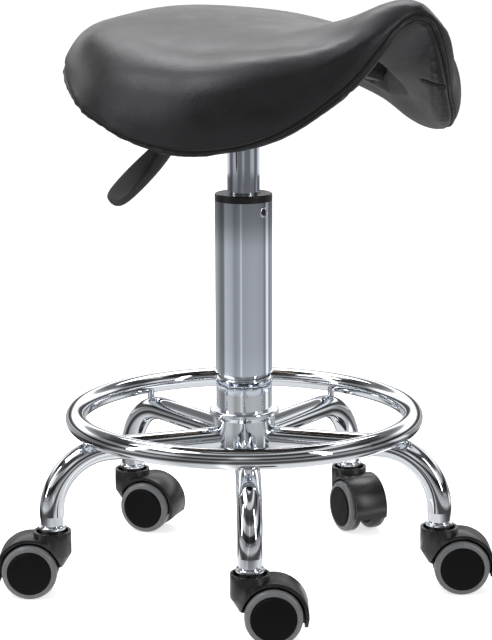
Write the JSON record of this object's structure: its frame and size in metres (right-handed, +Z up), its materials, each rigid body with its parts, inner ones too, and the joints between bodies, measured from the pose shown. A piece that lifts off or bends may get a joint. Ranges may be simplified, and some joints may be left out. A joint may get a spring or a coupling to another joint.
{
  "type": "saddle stool",
  "caption": "Rolling saddle stool: padded saddle seat on a chrome gas-lift column with a release lever, a foot ring on bent tube legs and swivelling twin-wheel casters.",
  "frame": {"origin": "on the floor under the column axis", "axes": "+Z up along the column, +X towards the front of the saddle, -Y towards the sitter's right, where the lever is"},
  "size_m": [0.3963, 0.4034, 0.5124],
  "materials": {
    "chrome": "mirror polished",
    "steel": "bright zinc",
    "black_steel": "satin black powder coat",
    "black_plastic": "satin",
    "wheel_black": "satin",
    "tread_grey": "soft gloss",
    "plywood": "raw",
    "upholstery": "black coated cloth with a fine grain over foam"
  },
  "bodies": {
    "base": {"hub": "chrome", "leg_1": "chrome", "leg_2": "chrome", "leg_3": "chrome", "leg_4": "chrome", "leg_5": "chrome", "foot_ring": "chrome", "ring_posts": "chrome", "leg_ferrules": "chrome", "caster_stems": "steel", "stand_tube": "chrome", "column_cover": "chrome", "cover_screw": "chrome", "top_cap": "black_plastic", "guide_bush": "black_plastic", "thrust_bearing": "steel"},
    "rod": {"piston_rod": "steel", "retaining_clip": "steel"},
    "seat": {"gas_cylinder": "chrome", "lift_mechanism": "black_steel", "lever_pin": "steel", "seat_board": "plywood", "seat_bolts": "steel", "seat_cushion": "upholstery"},
    "lever": {"lever_rod": "steel", "lever_paddle": "black_plastic"},
    "button": {"valve_button": "steel"},
    "caster_1": {"caster_1_hood": "black_plastic", "caster_1_axle": "steel"},
    "caster_1_left": {"caster_1_wheel_left": "wheel_black", "caster_1_tread_left": "tread_grey"},
    "caster_1_right": {"caster_1_wheel_right": "wheel_black", "caster_1_tread_right": "tread_grey"},
    "caster_2": {"caster_2_hood": "black_plastic", "caster_2_axle": "steel"},
    "caster_2_left": {"caster_2_wheel_left": "wheel_black", "caster_2_tread_left": "tread_grey"},
    "caster_2_right": {"caster_2_wheel_right": "wheel_black", "caster_2_tread_right": "tread_grey"},
    "caster_3": {"caster_3_hood": "black_plastic", "caster_3_axle": "steel"},
    "caster_3_left": {"caster_3_wheel_left": "wheel_black", "caster_3_tread_left": "tread_grey"},
    "caster_3_right": {"caster_3_wheel_right": "wheel_black", "caster_3_tread_right": "tread_grey"},
    "caster_4": {"caster_4_hood": "black_plastic", "caster_4_axle": "steel"},
    "caster_4_left": {"caster_4_wheel_left": "wheel_black", "caster_4_tread_left": "tread_grey"},
    "caster_4_right": {"caster_4_wheel_right": "wheel_black", "caster_4_tread_right": "tread_grey"},
    "caster_5": {"caster_5_hood": "black_plastic", "caster_5_axle": "steel"},
    "caster_5_left": {"caster_5_wheel_left": "wheel_black", "caster_5_tread_left": "tread_grey"},
    "caster_5_right": {"caster_5_wheel_right": "wheel_black", "caster_5_tread_right": "tread_grey"}
  },
  "joints": [
    {"name": "seat_swivel", "type": "hinge", "parent": "base", "child": "rod", "pos_m": [0, 0, 0.12], "axis": [0, 0, 1], "continuous": true},
    {"name": "seat_lift", "type": "slide", "parent": "rod", "child": "seat", "axis": [0, 0, 1], "range_m": [0, 0.12]},
    {"name": "lever_pull", "type": "hinge", "parent": "seat", "child": "lever", "pos_m": [0, -0.018, 0.43], "axis": [-1, 0, 0], "range_deg": [0, 8], "stiffness_Nm_per_rad": 0.5, "springref_deg": -5.73},
    {"name": "button_press", "type": "slide", "parent": "seat", "child": "button", "axis": [0, 0, -1], "range_m": [0, 0.003]},
    {"name": "caster_1_swivel", "type": "hinge", "parent": "base", "child": "caster_1", "pos_m": [0.13361, -0.11533, 0.05], "axis": [0, 0, 1], "continuous": true},
    {"name": "caster_1_left_spin", "type": "hinge", "parent": "caster_1", "child": "caster_1_left", "pos_m": [0.14637, -0.10125, 0.024], "axis": [-0.7408, 0.6717, 0], "continuous": true},
    {"name": "caster_1_right_spin", "type": "hinge", "parent": "caster_1", "child": "caster_1_right", "pos_m": [0.14637, -0.10125, 0.024], "axis": [-0.7408, 0.6717, 0], "continuous": true},
    {"name": "caster_2_swivel", "type": "hinge", "parent": "base", "child": "caster_2", "pos_m": [0.15097, 0.09143, 0.05], "axis": [0, 0, 1], "continuous": true},
    {"name": "caster_2_left_spin", "type": "hinge", "parent": "caster_2", "child": "caster_2_left", "pos_m": [0.16373, 0.10551, 0.024], "axis": [-0.7408, 0.6717, 0], "continuous": true},
    {"name": "caster_2_right_spin", "type": "hinge", "parent": "caster_2", "child": "caster_2_right", "pos_m": [0.16373, 0.10551, 0.024], "axis": [-0.7408, 0.6717, 0], "continuous": true},
    {"name": "caster_3_swivel", "type": "hinge", "parent": "base", "child": "caster_3", "pos_m": [-0.0403, 0.17184, 0.05], "axis": [0, 0, 1], "continuous": true},
    {"name": "caster_3_left_spin", "type": "hinge", "parent": "caster_3", "child": "caster_3_left", "pos_m": [-0.02215, 0.16622, 0.024], "axis": [0.2957, 0.9553, 0], "continuous": true},
    {"name": "caster_3_right_spin", "type": "hinge", "parent": "caster_3", "child": "caster_3_right", "pos_m": [-0.02215, 0.16622, 0.024], "axis": [0.2957, 0.9553, 0], "continuous": true},
    {"name": "caster_4_swivel", "type": "hinge", "parent": "base", "child": "caster_4", "pos_m": [-0.17588, 0.01477, 0.05], "axis": [0, 0, 1], "continuous": true},
    {"name": "caster_4_left_spin", "type": "hinge", "parent": "caster_4", "child": "caster_4_left", "pos_m": [-0.15892, 0.02334, 0.024], "axis": [-0.4509, 0.8926, 0], "continuous": true},
    {"name": "caster_4_right_spin", "type": "hinge", "parent": "caster_4", "child": "caster_4_right", "pos_m": [-0.15892, 0.02334, 0.024], "axis": [-0.4509, 0.8926, 0], "continuous": true},
    {"name": "caster_5_swivel", "type": "hinge", "parent": "base", "child": "caster_5", "pos_m": [-0.0684, -0.16271, 0.05], "axis": [0, 0, 1], "continuous": true},
    {"name": "caster_5_left_spin", "type": "hinge", "parent": "caster_5", "child": "caster_5_left", "pos_m": [-0.08116, -0.17678, 0.024], "axis": [0.7408, -0.6717, 0], "continuous": true},
    {"name": "caster_5_right_spin", "type": "hinge", "parent": "caster_5", "child": "caster_5_right", "pos_m": [-0.08116, -0.17678, 0.024], "axis": [0.7408, -0.6717, 0], "continuous": true}
  ],
  "couplings": [
    {"joint": "button_press", "follows": "lever_pull", "m_per_rad": 0.0205}
  ]
}
